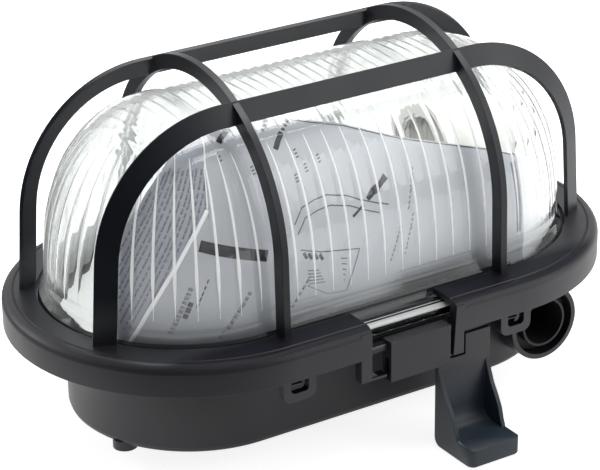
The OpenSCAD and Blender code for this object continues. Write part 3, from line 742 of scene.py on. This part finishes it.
BOX_LOWER = [(-8.4, 61.9), (-14.0, 49.2), (-21.0, 49.8), (-28.5, 54.6)]
# ladders of short strokes: (first place, last place, strokes)
LADDERS = (((3.0, 55.0), (8.0, 66.0), 8), ((8.5, 56.0), (13.0, 69.0), 9),
           ((11.0, 70.0), (15.5, 83.0), 8))
# slanted rows of dashes: (first place, last place, dashes, width, ink)
SLANTS = (((-74.6, 46.6), (-67.6, 62.0), 11, 1.5, PALE),
          ((-70.2, 51.6), (-67.6, 57.5), 3, 1.6, MID),
          ((-59.6, 43.6), (-48.6, 58.4), 9, 1.3, PALE),
          ((-66.4, 55.0), (-62.0, 64.6), 5, 0.5, MID),
          ((-36.0, 47.0), (-27.6, 57.0), 6, 0.9, PALE))
# broken rows on the back layer: rows, strokes in each, lean, and the free edge round them
BACK_ROWS, BACK_STROKES, BACK_LEAN = 21, 26, 0.52
BACK_LEFT, BACK_RIGHT, BACK_MARGIN = -91.5, -56.0, 1.5
# painted shade beside the right edge of the front sheet
SHADED_EDGE = [(54.6, 52.0), (55.0, 62.0), (54.6, 75.5)]


def print_marks(bm):
    """Bars, dashes and outlines on the front sheet."""
    ink(bm, BAR, 3.6, DARK)
    for dash in DASHES:
        ink(bm, list(dash), 1.1, MID)
    for points, width in SHORT_BARS:
        ink(bm, points, width, DARK)
    for s, z in TRIPLES:
        for k in range(3):
            ink(bm, [(s, z - 0.9 * k), (s + 1.1, z - 0.9 * k + 0.25)], 0.45, MID)
    ink(bm, ARC, 0.4, MID, step=FINE_STEP)
    ink(bm, [(s + 0.6, z - 3.2) for s, z in ARC[:-1]], THIN, MID, step=FINE_STEP)
    ink(bm, [(-3.4, 76.3), (-1.0, 78.2), (1.2, 78.8)], 3.0, DARK, taper=0.5)
    ink(bm, [(1.0, 79.0), (4.8, 81.6)], 2.4, DARK, taper=0.7)
    ink(bm, [(-9.6, 72.3), (-5.2, 74.9)], 0.8, DARK)
    ink(bm, BOX_UPPER, THIN, MID)
    ink(bm, BOX_LOWER, THIN, PALE)
    for k in range(4):
        ink(bm, [(-29.0 + 1.9 * k, 65.4 - 0.6 * k), (-28.0 + 1.9 * k, 63.4 - 0.6 * k)], 1.1, MID)
    for k in range(5):
        ink(bm, [(-28.0, 59.4 - 1.1 * k), (-24.0 + 0.5 * k, 58.6 - 1.1 * k)], 0.4, PALE)
        ink(bm, [(-15.6 + 0.2 * k, 60.4 - 1.8 * k), (-13.0 - 0.4 * k, 59.8 - 1.8 * k)], 0.4, PALE)


def print_rows(bm, rnd):
    """Rows of uneven strokes, which stand for text."""
    for first, last, strokes in LADDERS:
        for k in range(strokes):
            s, z = between(first, last, k / strokes)
            n = rnd.uniform(0.6, 1.3)
            ink(bm, [(s, z), (s + 0.7 * n, z + 0.9 * n)], 0.5, PALE)
    for first, last, n, width, mat in SLANTS:
        for j in range(n):
            f0 = (j + 0.10 * rnd.random()) / n
            f1 = (j + 0.62 + 0.3 * rnd.random()) / n
            ink(bm, [between(first, last, f0), between(first, last, f1)], width, mat)
    for k in range(BACK_ROWS):
        s, z = -104.0 + 2.05 * k, 46.0 + rnd.uniform(0.0, 1.2)
        for j in range(BACK_STROKES):
            f0 = j * 1.85 + rnd.uniform(0.0, 0.35)
            f1 = f0 + rnd.uniform(1.1, 1.75)
            pa = (s + f0 * BACK_LEAN, z + f0)
            pb = (s + f1 * BACK_LEAN, z + f1)
            inside = pa[0] > BACK_LEFT and pb[0] < BACK_RIGHT
            if inside and pb[1] < cut(BACK_TOP, pb[0]) - BACK_MARGIN:
                ink(bm, [pa, pb], 0.62, PALE, inset=ON_BACK)


def build_leaflet():
    bm = bmesh.new()
    # turned-over layer at the left in painted shade, front sheet, and sheet round the right end
    # in painted light
    sheet_patch(bm, -92.0, -52.0, BACK_TOP, BEHIND, BACK_SHEET)
    sheet_patch(bm, -88.8, 56.8, FRONT_TOP, LEAF_IN, FRONT_SHEET, nz=30, step=1.6)
    sheet_patch(bm, 49.0, 107.0, LIGHT_TOP, BEHIND, PAINTED_LIGHT_SHEET)
    ink(bm, FOLD, 1.3, PAINTED_LIGHT_SHEET)
    ink(bm, FOLD_UP, 0.5, PAINTED_LIGHT_SHEET)
    ink(bm, TOP_EDGE, THIN, MID)
    print_marks(bm)
    print_rows(bm, random.Random(7))
    # painted shade: a strip of pale ink beside the right edge
    ink(bm, SHADED_EDGE, 2.0, PALE)
    sheets = [f for f in bm.faces if f.material_index in (FRONT_SHEET, BACK_SHEET)]
    bmesh.ops.recalc_face_normals(bm, faces=sheets)
    looks = [MAT["paper"], PAPER_PAINTED_LIGHT, PAPER_BACK_PAINTED_SHADE, INK_DARK, INK_MID, INK_PALE]
    return mesh_piece("leaflet_sheet", bm, looks)


leaflet = build_leaflet()
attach(leaflet, "guard")
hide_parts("leaflet")


# Release lever: the CAD shape with the foot's corners and edges rounded
TIP_Y, EDGE_Y, FOOT_TOP = -80.4, -72.5, 0.3
CORNER_R, EDGE_R = 1.9, 0.22
SHARP, SHADE_SPLIT = math.radians(40), math.radians(35)
SAME_X, SHORTEST = 0.1, 0.3


def round_off(bm, edges, radius, segments):
    bmesh.ops.bevel(bm, geom=edges, offset=radius * MM, segments=segments, profile=0.5,
                    affect="EDGES", clamp_overlap=True)


def build_lever():
    bm = bmesh.new()
    bm.from_mesh(NODES["release_lever"].data)
    bmesh.ops.remove_doubles(bm, verts=bm.verts, dist=1e-6)
    bmesh.ops.dissolve_limit(bm, angle_limit=math.radians(1.0), verts=bm.verts, edges=bm.edges)

    def upright_at_tip(e):
        a, b = (v.co / MM for v in e.verts)
        return (max(a.y, b.y) < TIP_Y and max(a.z, b.z) < FOOT_TOP
                and abs(a.x - b.x) < SAME_X and abs(a.z - b.z) > SHORTEST)

    def sharp_on_foot(e):
        return (e.is_manifold and e.is_convex and e.calc_face_angle() > SHARP
                and max(v.co.z for v in e.verts) < FOOT_TOP * MM
                and min(v.co.y for v in e.verts) < EDGE_Y * MM)

    round_off(bm, [e for e in bm.edges if upright_at_tip(e)], CORNER_R, 5)
    round_off(bm, [e for e in bm.edges if sharp_on_foot(e)], EDGE_R, 2)
    bmesh.ops.recalc_face_normals(bm, faces=bm.faces)
    o = mesh_piece("lever_moulding", bm, [MAT["lever_plastic"]])
    o.data.set_sharp_from_angle(angle=SHADE_SPLIT)
    return o


lever = build_lever()
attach(lever, "lever")
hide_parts("release_lever")

# Stage
FLOOR_Z = CAD_BOX[0][2] - 0.0004
FLOOR_HALF = 4
FLOOR_TONE = 0.86
BACKDROP = 0.84
# what black plastic mirrors of the floor: a pool of light that falls off with the distance,
# darker under the object and towards its front left, and bright to its right
POOL_R, POOL = (0.14, 0.245), (1.70, 0.22)
UNDER_R, UNDER = (0.05, 0.14), (0.40, 1.0)
DARK_R, DARK_SHARE = (0.07, 0.17), (1.0, 0.30)
DARK_WAY = (-0.45, -0.89, 0.0)
RIGHT_X, RIGHT = (0.10, 0.20), (0.0, 1.5)


def through_glass(nt, lp):
    return calc(nt, "GREATER_THAN", lp.outputs["Transmission Depth"], 0.5)


def seen_directly(nt, lp):
    """1 for rays from the camera, and for rays that glass lets through or mirrors inside."""
    glossy = calc(nt, "MULTIPLY", lp.outputs["Is Glossy Ray"], through_glass(nt, lp))
    plain = calc(nt, "MAXIMUM", lp.outputs["Is Camera Ray"], lp.outputs["Is Transmission Ray"])
    return calc(nt, "MAXIMUM", plain, glossy)


def mirrored_floor(nt):
    """Strength of the floor in the reflections on the object."""
    pos = add(nt, "ShaderNodeNewGeometry").outputs["Position"]
    length = add(nt, "ShaderNodeVectorMath", operation="LENGTH")
    nt.links.new(pos, length.inputs[0])
    far = length.outputs["Value"]
    pool = calc(nt, "MULTIPLY", span(nt, far, POOL_R, POOL),
                span(nt, along(nt, pos, DARK_WAY), DARK_R, DARK_SHARE))
    pool = calc(nt, "MULTIPLY", pool, span(nt, far, UNDER_R, UNDER))
    return calc(nt, "MAXIMUM", pool, span(nt, axis_of(nt, pos, "X"), RIGHT_X, RIGHT))


def floor_mat():
    m, nt, out = new_mat("floor_white")
    lp = add(nt, "ShaderNodeLightPath")
    seen = seen_directly(nt, lp)
    d = add(nt, "ShaderNodeBsdfDiffuse")
    d.inputs["Color"].default_value = grey(FLOOR_TONE)
    e = add(nt, "ShaderNodeEmission")
    e.inputs["Color"].default_value = (1, 1, 1, 1)
    nt.links.new(calc(nt, "MULTIPLY", seen, BACKDROP), e.inputs["Strength"])
    s = add(nt, "ShaderNodeAddShader")
    nt.links.new(d.outputs["BSDF"], s.inputs[0])
    nt.links.new(e.outputs["Emission"], s.inputs[1])
    mirrored = add(nt, "ShaderNodeEmission")
    nt.links.new(mirrored_floor(nt), mirrored.inputs["Strength"])
    either = calc(nt, "MAXIMUM", lp.outputs["Is Glossy Ray"], seen)
    mx = add(nt, "ShaderNodeMixShader")
    nt.links.new(calc(nt, "SUBTRACT", either, seen), mx.inputs[0])
    nt.links.new(s.outputs["Shader"], mx.inputs[1])
    nt.links.new(mirrored.outputs["Emission"], mx.inputs[2])
    nt.links.new(mx.outputs["Shader"], out.inputs["Surface"])
    return m


floor_mesh = bpy.data.meshes.new("floor")
corners = [(sx * FLOOR_HALF, sy * FLOOR_HALF, FLOOR_Z)
           for sx, sy in ((-1, -1), (1, -1), (1, 1), (-1, 1))]
floor_mesh.from_pydata([Vector(v) for v in corners], [], [(0, 1, 2, 3)])
floor_mesh.materials.append(floor_mat())
floor = link(bpy.data.objects.new("floor", floor_mesh))

# the studio lights the object less from its front left, and from high over its left end
DIM_WAY, DIM_DOT, DIM = (-0.56, -0.80, -0.20), (0.03, 0.82), (0.80, 0.18)
HIGH_WAY, HIGH_DOT, HIGH = (-0.45, 0.26, 0.85), (0.86, 0.97), (1.0, 0.12)
DIFFUSE_SHARE = 0.55
INSIDE_GLASS = 0.64

world = bpy.data.worlds.new("studio")
bpy.context.scene.world = world
world.use_nodes = True
wn = world.node_tree
wn.nodes.clear()
w_out = add(wn, "ShaderNodeOutputWorld")
w_bg = add(wn, "ShaderNodeBackground")
w_lp = add(wn, "ShaderNodeLightPath")
w_way = add(wn, "ShaderNodeTexCoord").outputs["Generated"]
share = calc(wn, "ADD", calc(wn, "MULTIPLY", w_lp.outputs["Is Glossy Ray"], 1 - DIFFUSE_SHARE),
             DIFFUSE_SHARE)
lit = calc(wn, "MULTIPLY", span(wn, along(wn, w_way, DIM_WAY), DIM_DOT, DIM), share)
lit = calc(wn, "MULTIPLY", lit, span(wn, along(wn, w_way, HIGH_WAY), HIGH_DOT, HIGH))
lit = blend(wn, through_glass(wn, w_lp), lit, INSIDE_GLASS)
lit = blend(wn, seen_directly(wn, w_lp), lit, BACKDROP)
# the camera itself sees plain white
lit = calc(wn, "MAXIMUM", lit, w_lp.outputs["Is Camera Ray"])
w_bg.inputs["Color"].default_value = (1.0, 1.0, 1.0, 1.0)
wn.links.new(lit, w_bg.inputs["Strength"])
wn.links.new(w_bg.outputs["Background"], w_out.inputs["Surface"])

# lamps: (name, place, size, power)
LAMPS = (("soft_top", (0.18, 0.07, 0.93), (0.6, 0.7), 6.0),
         ("soft_right", (0.68, -0.62, 0.50), (0.7, 0.6), 2.0),
         ("soft_left", (-0.62, 0.70, 0.42), (0.5, 0.5), 1.8))
AIM = Vector((0, 0, 0.05))

for name, at, size, power in LAMPS:
    light = bpy.data.lights.new(name, "AREA")
    light.shape = "RECTANGLE"
    light.size, light.size_y = size
    light.energy = power
    lamp = link(bpy.data.objects.new(name, light))
    lamp.location = at
    lamp.rotation_euler = (AIM - Vector(at)).to_track_quat("-Z", "Y").to_euler()

# Camera
CAM_AT = (-0.40346081, -0.62986222, 0.38613932)
CAM_RIGHT = Vector((0.84100704, -0.54090869, -0.01117802))
CAM_UP = Vector((0.23131212, 0.34081421, 0.91123015))
CAM_LENS = 148.03

cam = bpy.data.cameras.new("view")
cam.sensor_width = 36.0
cam.lens = CAM_LENS
cam.clip_start = 0.01
cam.clip_end = 20.0
cam_obj = link(bpy.data.objects.new("view", cam))
turn = Matrix((CAM_RIGHT, CAM_UP, CAM_RIGHT.cross(CAM_UP))).transposed().to_4x4()
cam_obj.matrix_world = Matrix.Translation(CAM_AT) @ turn
bpy.context.scene.camera = cam_obj
bpy.context.scene.view_settings.view_transform = "Standard"
